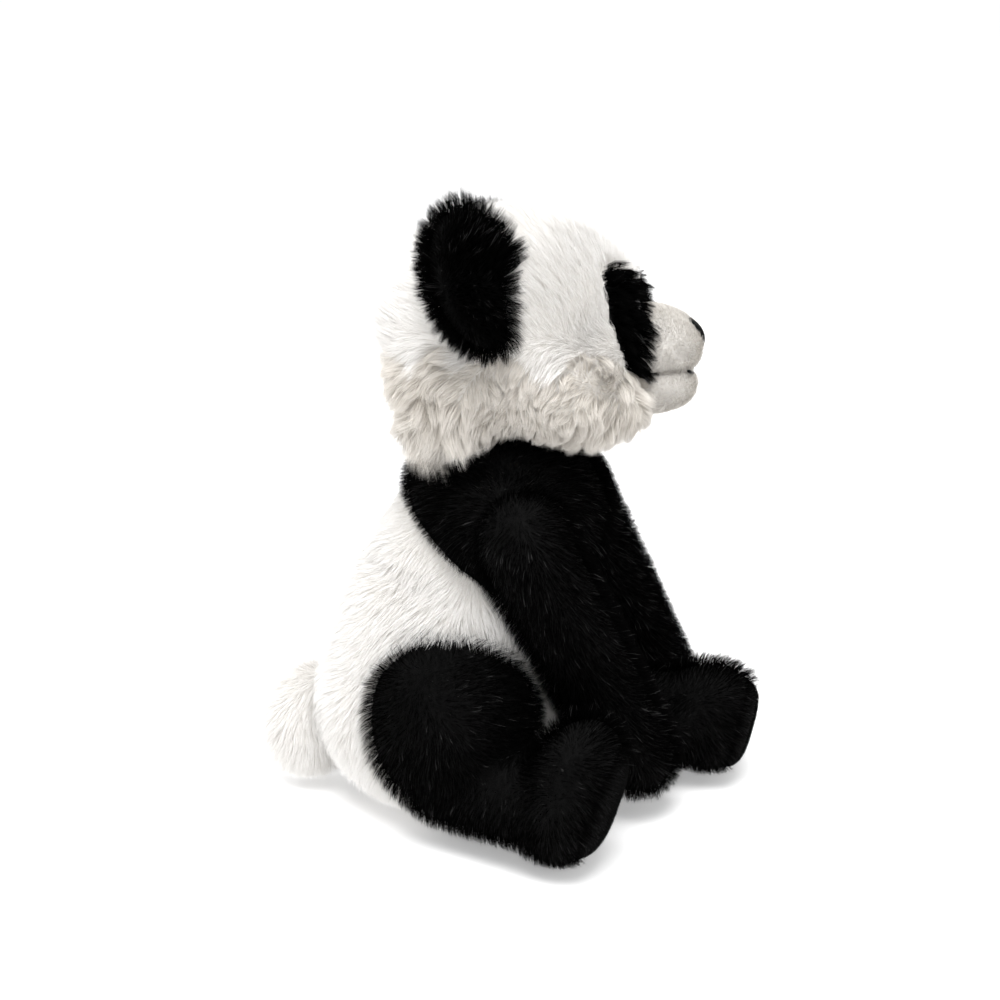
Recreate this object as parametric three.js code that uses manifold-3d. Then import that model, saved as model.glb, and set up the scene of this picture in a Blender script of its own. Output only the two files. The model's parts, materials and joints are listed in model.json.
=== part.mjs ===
// Seated plush panda, about 300 mm tall. Millimetres, +Z up, standing on Z = 0.
// The panda faces -Y, so its right side is at -X and its left side at +X.
// Every soft member is a sewn cover (a thin shell, open where it meets its neighbour)
// with its own filling inside. Covers reach to the middle of the fur pile.

import * as THREE from 'three';
import { mergeVertices } from 'three/addons/utils/BufferGeometryUtils.js';
import Module from 'manifold-3d';

const wasm = await Module();
wasm.setup();

// Driving dimensions
const SHELL = 5;             // backing cloth and lower half of the pile
const GAP = 0.35;            // between two pieces that touch
const SWING_GAP = 0.8;       // between two pieces that turn against each other
const FINE = 12;             // facets round the outside of a soft form
const COARSE = 8;            // facets round its inside
const ROOM = 9;              // facets round the room left for a limb
const FACET_SLACK = 3.4;     // what that room is grown by, because its facets are flat
const NECK_Z = 186;          // level of the seam between head and torso
const HEAD_CENTRE = [0, -18, 238];
const HEAD_YAW = 12;         // degrees, towards the panda's left
const HEAD_ROLL = 10;        // degrees, its left ear down
const SEAM_SLOPE = 36;       // fall of the black yoke's edge towards the belly, degrees
const SEAM_POINT = [0, 0, 137];
const TAIL_HINGE = [0, 74, 62];
const TAIL_LIFT = 22;        // degrees
const EAR_ROOM = 3.2;        // between an ear's root and the head
const EYE_RADIUS = 6;
const EYE_SEAT = 68;         // from the head's centre to the eye's back face
const STEM_RADIUS = 1.6;
const STEM_LENGTH = 15;

const RIGHT = -1;
const LEFT = 1;

// Where each limb lies, as [x, y, z]; an arm is lifted about its shoulder and a leg
// about the middle of its thigh, by so many degrees
const ARMS = {
  right: { shoulder: [-43, -30, 152], paw: [7, -76, 31], lift: 55 },
  left: { shoulder: [45, -27, 152], paw: [126, -64, 22], lift: 55 },
};
const ARM_RADII = [26, 21.5];
const LEGS = {
  right: {
    thigh: [-39, 1, 59], thighRadii: [34, 41, 48],
    foot: [-60, -60, 39], footRadii: [27, 26, 38], footTurn: -4, footPitch: 17, lift: 12,
  },
  left: {
    thigh: [45, -18, 43], thighRadii: [29, 42, 43],
    foot: [60, -102, 32], footRadii: [27, 31, 28], footTurn: 6, footPitch: 14, lift: 15,
  },
};
const CALF_RADII = [27, 25];
const SOLE_DEPTH = 15;       // from the foot's middle to the seam round the sole
const SOLE_FACE = 22;        // from the foot's middle to the flat of the sole

// ---------- geometry helpers ----------

const vec = (point) => new THREE.Vector3(...point);

function turned(xDeg, yDeg, zDeg) {
  const rad = THREE.MathUtils.degToRad;
  return new THREE.Euler(rad(xDeg), rad(yDeg), rad(zDeg), 'ZXY');
}

function placed(position, euler = new THREE.Euler()) {
  return new THREE.Matrix4().makeRotationFromEuler(euler).setPosition(vec(position));
}

// Turns a closed geometry into a solid, once its shared vertices are merged.
function solidOf(geometry, matrix = new THREE.Matrix4()) {
  const flat = geometry.clone().applyMatrix4(matrix);
  flat.deleteAttribute('normal');
  flat.deleteAttribute('uv');
  const merged = mergeVertices(flat, 1e-4);
  const index = merged.index.array;
  const kept = [];
  for (let i = 0; i < index.length; i += 3) {
    const [a, b, c] = [index[i], index[i + 1], index[i + 2]];
    if (a !== b && b !== c && c !== a) kept.push(a, b, c);
  }
  return new wasm.Manifold(new wasm.Mesh({
    numProp: 3,
    vertProperties: new Float32Array(merged.attributes.position.array),
    triVerts: new Uint32Array(kept),
  }));
}

const facets = (grow) => (grow < 0 ? COARSE : FINE);

function ellipsoid(centre, radii, grow = 0, euler = new THREE.Euler(), around = facets(grow)) {
  const size = radii.map((radius) => radius + grow);
  const ball = new THREE.SphereGeometry(1, around, Math.round(around * 0.6));
  ball.rotateX(Math.PI / 2);
  ball.scale(...size);
  return solidOf(ball, placed(centre, euler));
}

// A solid of revolution about the line from start, along direction; the profile gives
// [radius, distance along the line] and begins and ends on the line.
function turning(start, direction, profile, around) {
  const points = profile.map(([radius, along]) => new THREE.Vector2(radius, along));
  const lathe = new THREE.LatheGeometry(points, around);
  const axis = vec(direction).normalize();
  const spin = new THREE.Quaternion().setFromUnitVectors(new THREE.Vector3(0, 1, 0), axis);
  const matrix = new THREE.Matrix4().compose(vec(start), spin, new THREE.Vector3(1, 1, 1));
  return solidOf(lathe, matrix);
}

// A sausage with round ends that narrows from one end to the other.
function limb(start, end, radii, grow = 0, around = facets(grow)) {
  const [first, last] = radii.map((radius) => radius + grow);
  const span = vec(end).sub(vec(start));
  const profile = [];
  const steps = Math.round(around / 3);
  for (let i = 0; i <= steps; i += 1) {
    const angle = (i / steps) * Math.PI / 2;
    profile.push([first * Math.sin(angle), -first * Math.cos(angle)]);
  }
  for (let i = 0; i <= steps; i += 1) {
    const angle = (i / steps) * Math.PI / 2;
    profile.push([last * Math.cos(angle), span.length() + last * Math.sin(angle)]);
  }
  profile[0][0] = 0;
  profile[profile.length - 1][0] = 0;
  return turning(start, span.toArray(), profile, around);
}

function rod(start, direction, radius, length, around = 12) {
  return turning(start, direction, [[0, 0], [radius, 0], [radius, length], [0, length]], around);
}

// Everything on the side of the plane that the normal points to.
function beyond(point, normal) {
  const reach = 500;
  const box = new THREE.BoxGeometry(reach, reach, reach);
  box.translate(0, 0, reach / 2);
  const axis = vec(normal).normalize();
  const spin = new THREE.Quaternion().setFromUnitVectors(new THREE.Vector3(0, 0, 1), axis);
  return solidOf(box, new THREE.Matrix4().compose(vec(point), spin, new THREE.Vector3(1, 1, 1)));
}

const join = (solids) => solids.reduce((sum, next) => sum.add(next));

function largestPiece(solid) {
  return solid.decompose().reduce((best, next) => (next.volume() > best.volume() ? next : best));
}

const model = new THREE.Group();

function addPiece(name, solid, look, parent = model) {
  const { numProp, vertProperties, triVerts } = largestPiece(solid).getMesh();
  const positions = new Float32Array((vertProperties.length / numProp) * 3);
  for (let i = 0; i < positions.length / 3; i += 1) {
    for (let k = 0; k < 3; k += 1) positions[3 * i + k] = vertProperties[numProp * i + k];
  }
  const geometry = new THREE.BufferGeometry();
  geometry.setAttribute('position', new THREE.BufferAttribute(positions, 3));
  geometry.setIndex(Array.from(triVerts));
  geometry.computeVertexNormals();
  const [color, roughness] = look;
  const material = new THREE.MeshStandardMaterial({ color, roughness, metalness: 0 });
  const mesh = new THREE.Mesh(geometry, material);
  mesh.name = name;
  parent.add(mesh);
}

// ---------- materials, as [colour, roughness] ----------

const WHITE_PILE = [0xe9e7df, 0.95];
const BLACK_PILE = [0x0d0d0f, 0.9];
const SHORT_WHITE = [0xe0dcd0, 0.9];
const SHORT_BLACK = [0x1b1b1e, 0.85];
const FIBRE = [0xf4f4f2, 1.0];
const PELLETS = [0xd9d7d0, 0.7];
const THREAD = [0x101012, 0.6];
const GLOSS_BLACK = [0x050505, 0.1];
const WASHER = [0xf0f0f0, 0.5];

// ---------- soft forms, each a function of how far it is grown ----------

const onFloor = beyond([0, 0, 0], [0, 0, 1]);
const aboveFloor = (grow) => (grow < 0 ? beyond([0, 0, -grow], [0, 0, 1]) : onFloor);

function torsoForm(grow) {
  const seat = ellipsoid([0, 18, 54], [57, 62, 60], grow);
  const waist = ellipsoid([0, 8, 104], [50, 54, 56], grow);
  const chest = ellipsoid([0, -14, 150], [47, 50, 46], grow);
  const neckTop = beyond([0, 0, NECK_Z - SWING_GAP / 2 + Math.min(grow, 0)], [0, 0, 1]);
  return join([seat, waist, chest]).subtract(neckTop).intersect(aboveFloor(grow));
}

function tailForm(grow) {
  const tuft = ellipsoid([0, 84, 37], [20, 23, 33], grow, turned(12, 0, 0));
  const torso = torsoForm(SWING_GAP - Math.min(grow, 0));
  return tuft.intersect(aboveFloor(grow)).subtract(lifted(torso, TAIL_HINGE, TAIL_LIFT, 2));
}

function armForm(side, grow) {
  const { shoulder, paw } = ARMS[side];
  return limb(shoulder, paw, ARM_RADII, grow).intersect(aboveFloor(grow));
}

function soleNormal(side) {
  const { footTurn, footPitch } = LEGS[side];
  return new THREE.Vector3(0, -1, 0).applyEuler(turned(footPitch, 0, footTurn)).toArray();
}

// The two ends of the middle line of the calf, which joins the thigh to the foot.
function calfLine(side) {
  const { thigh, foot } = LEGS[side];
  return [[thigh[0], thigh[1], CALF_RADII[0] + 6], [foot[0], foot[1], CALF_RADII[1] + 6]];
}

function legForm(side, grow) {
  const { thigh, thighRadii, foot, footRadii, footTurn, footPitch } = LEGS[side];
  const upper = ellipsoid(thigh, thighRadii, grow);
  const calf = limb(...calfLine(side), CALF_RADII, grow, COARSE);
  const lower = ellipsoid(foot, footRadii, grow, turned(footPitch, 0, footTurn));
  const normal = soleNormal(side);
  const face = foot.map((value, k) => value + normal[k] * (SOLE_FACE + Math.min(grow, 0)));
  return join([upper, calf, lower]).subtract(beyond(face, normal)).intersect(aboveFloor(grow));
}

// The volume that a limb sweeps as it is lifted about a level, crosswise axis.
function lifted(form, pivot, degrees, steps) {
  const swept = [form];
  for (let i = 1; i <= steps; i += 1) {
    const angle = -degrees * i / steps;
    const [, y, z] = pivot;
    swept.push(form.translate([0, -y, -z]).rotate([angle, 0, 0]).translate([0, y, z]));
  }
  return join(swept);
}

// Room that the torso leaves for the arms and legs at every angle they reach.
function limbRoom(grow) {
  const rooms = [];
  for (const side of ['right', 'left']) {
    const { shoulder, paw, lift } = ARMS[side];
    const arm = limb(shoulder, paw, ARM_RADII, grow, ROOM);
    rooms.push(lifted(arm, shoulder, lift, 3));
    const leg = LEGS[side];
    const thigh = ellipsoid(leg.thigh, leg.thighRadii, grow, new THREE.Euler(), ROOM);
    const calf = limb(...calfLine(side), CALF_RADII, grow, ROOM);
    rooms.push(lifted(thigh.add(calf), leg.thigh, leg.lift, 1));
  }
  return join(rooms);
}

const cover = (form) => form(0).subtract(form(-SHELL));
const filling = (form) => form(-SHELL - GAP);

// ---------- torso ----------

const seamNormal = [0, -Math.sin(SEAM_SLOPE * Math.PI / 180), Math.cos(SEAM_SLOPE * Math.PI / 180)];
const seamShift = seamNormal.map((value, k) => SEAM_POINT[k] + value * GAP);
const torsoRoom = limbRoom(SWING_GAP + FACET_SLACK);
const neckHole = rod([0, -14, NECK_Z - 30], [0, 0, 1], 24, 60, 16);
const torsoCover = cover(torsoForm).subtract(torsoRoom).subtract(neckHole);
addPiece('torso_cover', torsoCover.subtract(beyond(SEAM_POINT, seamNormal)), WHITE_PILE);
addPiece('shoulder_yoke', torsoCover.intersect(beyond(seamShift, seamNormal)), BLACK_PILE);

const pelletSack = (grow) => ellipsoid([7, 38, 34], [21, 20, 17], grow, undefined, COARSE);
const sackDoor = rod([7, 38, -10], [0, 0, 1], 12, 40, COARSE);
const torsoFill = filling(torsoForm).subtract(torsoRoom).subtract(pelletSack(GAP));
addPiece('torso_stuffing', torsoFill.subtract(sackDoor), FIBRE);
addPiece('seat_pellet_sack', pelletSack(0), PELLETS);

// ---------- tail ----------

const tailHole = rod([0, 88, 40], [0, -1, 0.1], 9, 40);
addPiece('tail_cover', cover(tailForm).subtract(tailHole), WHITE_PILE);
addPiece('tail_stuffing', filling(tailForm), FIBRE);

// ---------- arms and legs ----------

for (const side of ['right', 'left']) {
  const sign = side === 'right' ? RIGHT : LEFT;
  const { shoulder } = ARMS[side];
  const arm = (grow) => armForm(side, grow);
  const armHole = rod(shoulder, [-sign, 0.25, 0.1], 13, 60);
  addPiece(`arm_${side}_cover`, cover(arm).subtract(armHole), BLACK_PILE);
  addPiece(`arm_${side}_stuffing`, filling(arm), FIBRE);

  const { thigh, foot } = LEGS[side];
  const leg = (grow) => legForm(side, grow);
  const normal = soleNormal(side);
  const seam = foot.map((value, k) => value + normal[k] * SOLE_DEPTH);
  const soleSeam = seam.map((value, k) => value + normal[k] * GAP);
  const hipHole = rod([thigh[0], thigh[1] + 8, thigh[2]], [-sign, 0.5, 0.1], 15, 60);
  const legCover = cover(leg);
  addPiece(`leg_${side}_cover`, legCover.subtract(hipHole).subtract(beyond(seam, normal)), BLACK_PILE);
  addPiece(`sole_${side}`, legCover.intersect(beyond(soleSeam, normal)), SHORT_BLACK);
  addPiece(`leg_${side}_stuffing`, filling(leg), FIBRE);
}

// ---------- head, built about its own centre and then turned ----------

const head = new THREE.Group();
head.position.set(...HEAD_CENTRE);
head.rotation.copy(turned(0, HEAD_ROLL, HEAD_YAW));
model.add(head);
const headSpin = new THREE.Quaternion().setFromEuler(head.rotation).invert();
const upright = new THREE.Vector3(0, 0, 1).applyQuaternion(headSpin);

const NECK_LEVEL = NECK_Z + SWING_GAP / 2 - HEAD_CENTRE[2];

function skullForm(grow) {
  const skull = ellipsoid([0, 3, 2], [59, 60, 53], grow);
  const brow = ellipsoid([0, -22, 8], [50, 36, 36], grow);
  const ruff = ellipsoid([0, 20, -20], [56, 38, 36], grow);
  const cheeks = ellipsoid([0, -24, -21], [54, 38, 35], grow);
  const sockets = [RIGHT, LEFT].map((sign) => ellipsoid([sign * 22, -40, 0], [20, 22, 30], grow));
  const base = upright.clone().multiplyScalar(NECK_LEVEL - Math.min(grow, 0)).toArray();
  const floor = beyond(base, upright.toArray());
  return join([skull, brow, ruff, cheeks, ...sockets]).intersect(floor);
}

function muzzleForm(grow) {
  const snout = ellipsoid([0, -59, -6], [26, 26, 19], grow);
  const chin = ellipsoid([0, -58, -24], [22, 25, 14], grow);
  return snout.add(chin);
}

const LIP_LEVEL = -20;
const muzzleShell = (clear) => muzzleForm(0).subtract(muzzleForm(-3)).subtract(skullForm(clear));
const lip = [0, 0, LIP_LEVEL];
const muzzleDoor = rod([0, -50, -12], [0, 1, 0], 11, 40);
const headOuter = cover(skullForm).subtract(rod([0, 4, NECK_LEVEL - 5], [0, 0, 1], 24, 30, 16));

// The short stitched line of the mouth, laid in the seam between muzzle and jaw
function mouthLine(radius) {
  const bow = new THREE.CatmullRomCurve3([-13, -7, 0, 7, 13].map(
    (x) => new THREE.Vector3(x, -82.2 + x * x * 0.028, LIP_LEVEL + x * x * 0.012)));
  const ring = new THREE.Shape().absarc(0, 0, radius, 0, Math.PI * 2);
  const tube = new THREE.ExtrudeGeometry(ring, { steps: 12, extrudePath: bow, curveSegments: 4 });
  return solidOf(tube);
}

const stitchRoom = mouthLine(1.3);
addPiece('muzzle_cover', muzzleShell(GAP).subtract(stitchRoom).intersect(
  beyond([0, 0, LIP_LEVEL + GAP], [0, 0, 1])), SHORT_WHITE, head);
addPiece('jaw_cover', muzzleShell(GAP).subtract(stitchRoom).intersect(
  beyond(lip, [0, 0, -1])), SHORT_WHITE, head);
addPiece('mouth_stitch', mouthLine(0.9), THREAD, head);
const muzzleFill = muzzleForm(-3 - GAP).subtract(skullForm(GAP)).subtract(stitchRoom);
addPiece('muzzle_stuffing', muzzleFill, FIBRE, head);

const noseWindow = ellipsoid([0, -84, 1], [12, 12, 7.5]);
addPiece('nose', muzzleForm(1.5).subtract(muzzleForm(GAP)).intersect(noseWindow), THREAD, head);

// Eyes: a black fur patch, a domed eye on a stem through it, and a washer inside
const eyeDirection = (sign) => new THREE.Vector3(sign * 0.38, -0.9, 0.2).normalize();
let headShell = headOuter.subtract(muzzleDoor);
let headFill = filling(skullForm);
for (const [side, sign] of [['right', RIGHT], ['left', LEFT]]) {
  const out = eyeDirection(sign);
  const along = (distance) => out.clone().multiplyScalar(distance).toArray();
  const direction = out.toArray();
  const window = ellipsoid(along(EYE_SEAT - 4), [14, 22, 29], 0, turned(-8, sign * 14, sign * 34));
  const stemRoom = rod(along(30), direction, STEM_RADIUS + GAP, 60);
  const patch = skullForm(1.6).subtract(skullForm(GAP)).intersect(window);
  addPiece(`eye_patch_${side}`, patch.subtract(stemRoom).subtract(muzzleForm(GAP)), BLACK_PILE, head);
  const dome = turning(along(EYE_SEAT), direction, [
    [0, -STEM_LENGTH], [STEM_RADIUS, -STEM_LENGTH], [STEM_RADIUS, 0], [EYE_RADIUS, 0],
    [EYE_RADIUS * 0.87, EYE_RADIUS * 0.5], [EYE_RADIUS * 0.5, EYE_RADIUS * 0.87], [0, EYE_RADIUS],
  ], 12);
  addPiece(`eye_${side}`, dome, GLOSS_BLACK, head);
  const washer = turning(along(EYE_SEAT - STEM_LENGTH + 3), direction, [
    [STEM_RADIUS + GAP, 0], [8, 0], [8, 1.5], [STEM_RADIUS + GAP, 1.5], [STEM_RADIUS + GAP, 0],
  ], 12);
  addPiece(`eye_washer_${side}`, washer, WASHER, head);
  const pocket = rod(along(EYE_SEAT - STEM_LENGTH - 1), direction, 8.5, 6);
  headShell = headShell.subtract(stemRoom).subtract(pocket);
  headFill = headFill.subtract(stemRoom).subtract(pocket);
}
addPiece('head_cover', headShell, WHITE_PILE, head);
addPiece('head_stuffing', headFill, FIBRE, head);

// Ears: two panels back to back, cupped forward and swept back
for (const [side, sign] of [['right', RIGHT], ['left', LEFT]]) {
  const lean = turned(-15, sign * 10, sign * 40);
  const middle = [sign * 58, 14, 23];
  const lens = ellipsoid(middle, [27, 9, 33], 0, lean).subtract(skullForm(EAR_ROOM));
  const forward = new THREE.Vector3(0, -1, 0).applyEuler(lean);
  const half = (way) => {
    const normal = forward.clone().multiplyScalar(way);
    const point = vec(middle).addScaledVector(normal, GAP / 2);
    return lens.intersect(beyond(point.toArray(), normal.toArray()));
  };
  addPiece(`ear_${side}_front`, half(1), BLACK_PILE, head);
  addPiece(`ear_${side}_back`, half(-1), BLACK_PILE, head);
}

export default model;
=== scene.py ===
"""Looks of a seated plush panda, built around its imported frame.

Every soft member is a skin (the backing cloth) with its pile planted on it as real strands.
Helpers work in millimetres in the frame's axes: +Z up, the panda faces -Y, its right is -X.
"""
import json
import math

import bmesh
import bpy
import numpy as np
from mathutils import Matrix, Vector
from mathutils.kdtree import KDTree


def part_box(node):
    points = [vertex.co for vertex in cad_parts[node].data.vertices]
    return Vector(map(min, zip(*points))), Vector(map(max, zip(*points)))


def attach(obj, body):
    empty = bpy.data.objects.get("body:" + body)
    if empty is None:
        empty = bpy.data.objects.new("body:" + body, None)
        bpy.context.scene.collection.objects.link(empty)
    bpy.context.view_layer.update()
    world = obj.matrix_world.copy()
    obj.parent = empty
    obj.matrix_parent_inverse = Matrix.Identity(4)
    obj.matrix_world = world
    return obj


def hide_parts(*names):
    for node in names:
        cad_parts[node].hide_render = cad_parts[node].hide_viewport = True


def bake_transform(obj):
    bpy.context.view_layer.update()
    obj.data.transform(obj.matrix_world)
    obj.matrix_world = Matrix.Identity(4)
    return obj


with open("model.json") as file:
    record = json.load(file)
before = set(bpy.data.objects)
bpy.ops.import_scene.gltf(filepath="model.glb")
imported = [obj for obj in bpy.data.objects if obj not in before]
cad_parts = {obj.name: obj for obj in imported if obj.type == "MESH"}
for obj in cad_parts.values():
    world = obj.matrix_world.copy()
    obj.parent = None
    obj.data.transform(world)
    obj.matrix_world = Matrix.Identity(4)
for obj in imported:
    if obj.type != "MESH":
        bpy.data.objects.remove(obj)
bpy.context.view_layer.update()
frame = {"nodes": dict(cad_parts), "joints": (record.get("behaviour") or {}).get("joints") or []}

MM = 0.001
SIDES = {"right": -1, "left": 1}
DOWN = np.array([0.0, 0.0, -1.0])

# ---------- places, from the frame ----------

joints = {joint["name"]: joint for joint in frame["joints"]}


def joint_at(name):
    """Where a joint turns, in mm."""
    return np.array(joints[name]["pos_m"]) / MM


def box_of(*nodes):
    """Lowest and highest corner of some CAD nodes together, in mm."""
    corners = [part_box(node) for node in nodes]
    low = np.min([np.array(low) for low, _ in corners], 0) / MM
    high = np.max([np.array(high) for _, high in corners], 0) / MM
    return low, high


HEAD_RISE = 52         # mm from the neck joint to the middle of the head
HEAD = joint_at("neck_turn") + [0, 0, HEAD_RISE]
muzzle_low, muzzle_high = box_of("muzzle_cover", "jaw_cover")
muzzle_way = (muzzle_low + muzzle_high) / 2 - HEAD
HEAD_YAW = math.degrees(math.atan2(muzzle_way[0], -muzzle_way[1]))
ear_span = joint_at("ear_left_flop") - joint_at("ear_right_flop")
HEAD_ROLL = math.degrees(math.atan2(-ear_span[2], math.hypot(ear_span[0], ear_span[1])))

# ---------- driving sizes, mm ----------

BACKING = 4.5          # the cloth lies this far inside the CAD form, which ends mid-pile
TORSO_BACKING = 3.0
LEG_BACKING = 3.2
PAW_BACKING = 3.2
TAIL_BACKING = 3.0
EAR_BACKING = 2.0
MUZZLE_BACKING = 1.4
SHOULDER_SINK = 15     # how far the arm's cloth starts inside the chest
FLOOR_CLEAR = 0.7      # of the cloth and the lowest strands above the floor
ARM_RADII = (26, 21.5)
CALF_RADII = (27, 25)
CALF_CLEAR = 6         # of the calf's form above the floor
SEAM_POINT = np.array([0.0, 0.0, 137.0])
SEAM_SLOPE = math.radians(36)      # how the edge of the black yoke falls towards the belly
SEAM_NORMAL = np.array([0, -math.sin(SEAM_SLOPE), math.cos(SEAM_SLOPE)])
SOLE_DEPTH = 13        # from the middle of the foot to the sole's seam
SOLE_RISE = 8          # from that seam to the flat of the sole
EYE_SEAT = 56.3        # from the middle of the head to the rim of an eye
EYE_RADIUS = 6.2
LIP_LEVEL = -20
SHORTEST = 0.08        # a strand with a smaller share of the pile's length is left out


def turn(pitch=0.0, roll=0.0, yaw=0.0):
    """Rotation by roll about Y, then pitch about X, then yaw about Z, in degrees."""
    order = ((yaw, "Z"), (pitch, "X"), (roll, "Y"))
    product = Matrix.Identity(3)
    for angle, axis in order:
        product = product @ Matrix.Rotation(math.radians(angle), 3, axis)
    return np.array(product)


def unit(vectors):
    """Vectors at length one, along the last axis."""
    vectors = np.asarray(vectors, float)
    return vectors / np.maximum(np.linalg.norm(vectors, axis=-1, keepdims=True), 1e-9)


def smooth_step(value, low, high):
    """0 below low, 1 above high, smooth between."""
    t = np.clip((value - low) / (high - low), 0, 1)
    return t * t * (3 - 2 * t)


def bell(value, width):
    """1 at 0, falling off to both sides."""
    return np.exp(-(value / width) ** 2)


# ---------- soft lumps ----------

class Lump:
    """An ellipsoid of stuffing."""

    def __init__(self, centre, radii, spin=np.eye(3)):
        self.centre = np.array(centre, float)
        self.radii = np.array(radii, float)
        self.spin = spin

    def depth(self, points):
        """How far points lie inside, roughly, in mm; negative outside."""
        local = (points - self.centre) @ self.spin / self.radii
        return (1 - np.linalg.norm(local, axis=-1)) * self.radii.min()

    def matrix(self):
        """From a unit ball in metres to this lump."""
        basis = Matrix((self.spin * self.radii * MM).tolist()).to_4x4()
        return Matrix.Translation(Vector(self.centre * MM)) @ basis


def chain(start, end, radii, steps=16):
    """A limb: balls along a line, from one radius to another."""
    start, end = np.array(start, float), np.array(end, float)
    balls = []
    for i in range(steps + 1):
        t = i / steps
        radius = radii[0] + (radii[1] - radii[0]) * t
        balls.append(Lump(start + (end - start) * t, [radius] * 3))
    return balls


def depth_in(points, lumps):
    """How far points lie inside any of the lumps."""
    return np.max([lump.depth(points) for lump in lumps], axis=0)


# ---------- skins ----------

class Skin:
    """A cloth surface as arrays in mm, which the pile is planted on."""

    def __init__(self, obj):
        mesh = obj.data
        mesh.calc_loop_triangles()
        self.points = np.empty(len(mesh.vertices) * 3)
        mesh.vertices.foreach_get("co", self.points)
        self.points = self.points.reshape(-1, 3) / MM
        self.normals = np.empty(len(mesh.vertices) * 3)
        mesh.vertices.foreach_get("normal", self.normals)
        self.normals = self.normals.reshape(-1, 3)
        self.triangles = np.empty(len(mesh.loop_triangles) * 3, np.int32)
        mesh.loop_triangles.foreach_get("vertices", self.triangles)
        self.triangles = self.triangles.reshape(-1, 3)


def linked(name, data):
    """A new object in the scene, for a mesh, a light or a camera."""
    obj = bpy.data.objects.new(name, data)
    bpy.context.scene.collection.objects.link(obj)
    return obj


def smooth_faces(mesh):
    mesh.polygons.foreach_set("use_smooth", [True] * len(mesh.polygons))


def add_object(name, mesh):
    """A new object that holds the mesh, with smooth faces."""
    smooth_faces(mesh)
    return linked(name, mesh)


def object_from(bm, name):
    """A new object from a BMesh, which is freed."""
    mesh = bpy.data.meshes.new(name)
    bm.to_mesh(mesh)
    bm.free()
    return add_object(name, mesh)


def apply_modifiers(obj):
    """Gives the object the mesh that its modifiers make, and removes them."""
    graph = bpy.context.evaluated_depsgraph_get()
    mesh = bpy.data.meshes.new_from_object(obj.evaluated_get(graph))
    obj.modifiers.clear()
    obj.data = mesh
    smooth_faces(mesh)


def stuffed(name, lumps, shape=None, voxel=2.8, rounds=12):
    """One smooth closed form round the lumps, standing on the floor, as an object."""
    bm = bmesh.new()
    for lump in lumps:
        bmesh.ops.create_icosphere(bm, subdivisions=4, radius=1, matrix=lump.matrix())
    obj = object_from(bm, name)
    remesh = obj.modifiers.new("voxels", "REMESH")
    remesh.mode = "VOXEL"
    remesh.voxel_size = voxel * MM
    relax = obj.modifiers.new("relax", "SMOOTH")
    relax.factor = 0.6
    relax.iterations = rounds
    apply_modifiers(obj)
    skin = Skin(obj)
    points = skin.points
    if shape is not None:
        points = shape(points, skin.normals)
    points[:, 2] = np.maximum(points[:, 2], FLOOR_CLEAR)
    obj.data.vertices.foreach_set("co", (points * MM).ravel())
    obj.data.update()
    return obj


def cut(obj, name, point, normal):
    """A copy of the form's part on the side that the normal points to."""
    bm = bmesh.new()
    bm.from_mesh(obj.data)
    parts = bm.verts[:] + bm.edges[:] + bm.faces[:]
    bmesh.ops.bisect_plane(
        bm, geom=parts, plane_co=Vector(np.array(point) * MM), plane_no=Vector(normal), clear_inner=True)
    return object_from(bm, name)


# ---------- pile ----------

def ripple(points, scale, rng):
    """A smooth random value about -1 to 1 at each point; scale is its size in mm."""
    waves = 5
    total = np.zeros(len(points))
    for _ in range(waves):
        way = unit(rng.normal(size=3)) * (2 * math.pi / scale) * rng.uniform(0.6, 1.4)
        total += np.sin(points @ way + rng.uniform(0, 2 * math.pi))
    return total / math.sqrt(waves)


class Pile:
    """How a fur lies and what it is made of."""

    rings = 2       # stretches of a strand, from root to tip
    stray = 0.12    # how far a strand strays from the comb's way, in radians

    def __init__(self, material, slot, length, density, width, lean, clump, clump_size, swirl,
                 swirl_size=26, gravity=0.1):
        self.material = material
        self.slot = slot
        self.length = length          # mm
        self.density = density        # strands per square millimetre
        self.width = width            # of a strand at its root, mm
        self.lean = lean              # degrees off the cloth's normal, at root and tip
        self.clump = clump            # how far the tips are drawn to their tuft's, from 0 to 1
        self.clump_size = clump_size  # mm between tufts
        self.swirl = swirl            # how far the comb's way wanders, in radians
        self.swirl_size = swirl_size  # mm
        self.gravity = gravity


def strand_paths(roots, normals, comb, pile, length, rng, wild):
    """Points along each strand, as an array of strand, ring and axis."""
    tangents = comb(roots)
    tangents = tangents - normals * (tangents * normals).sum(1, keepdims=True)
    tangents = unit(tangents + 1e-6)
    across = np.cross(normals, tangents)
    angle = pile.swirl * ripple(roots, pile.swirl_size, rng) + rng.normal(0, wild, len(roots))
    tangents = tangents * np.cos(angle)[:, None] + across * np.sin(angle)[:, None]
    paths = [roots]
    lift = rng.normal(0, wild * 0.7, len(roots))
    for ring in range(pile.rings):
        share = (ring + 0.5) / pile.rings
        lean = math.radians(pile.lean[0] + (pile.lean[1] - pile.lean[0]) * share) + lift
        way = normals * np.cos(lean)[:, None] + tangents * np.sin(lean)[:, None]
        way = unit(way + DOWN * pile.gravity * share)
        paths.append(paths[-1] + way * (length / pile.rings)[:, None])
    return np.stack(paths, 1)


def triangle_areas(skin):
    """In square millimetres."""
    first, second, third = skin.points[skin.triangles].transpose(1, 0, 2)
    return np.linalg.norm(np.cross(second - first, third - first), axis=1) / 2


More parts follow.
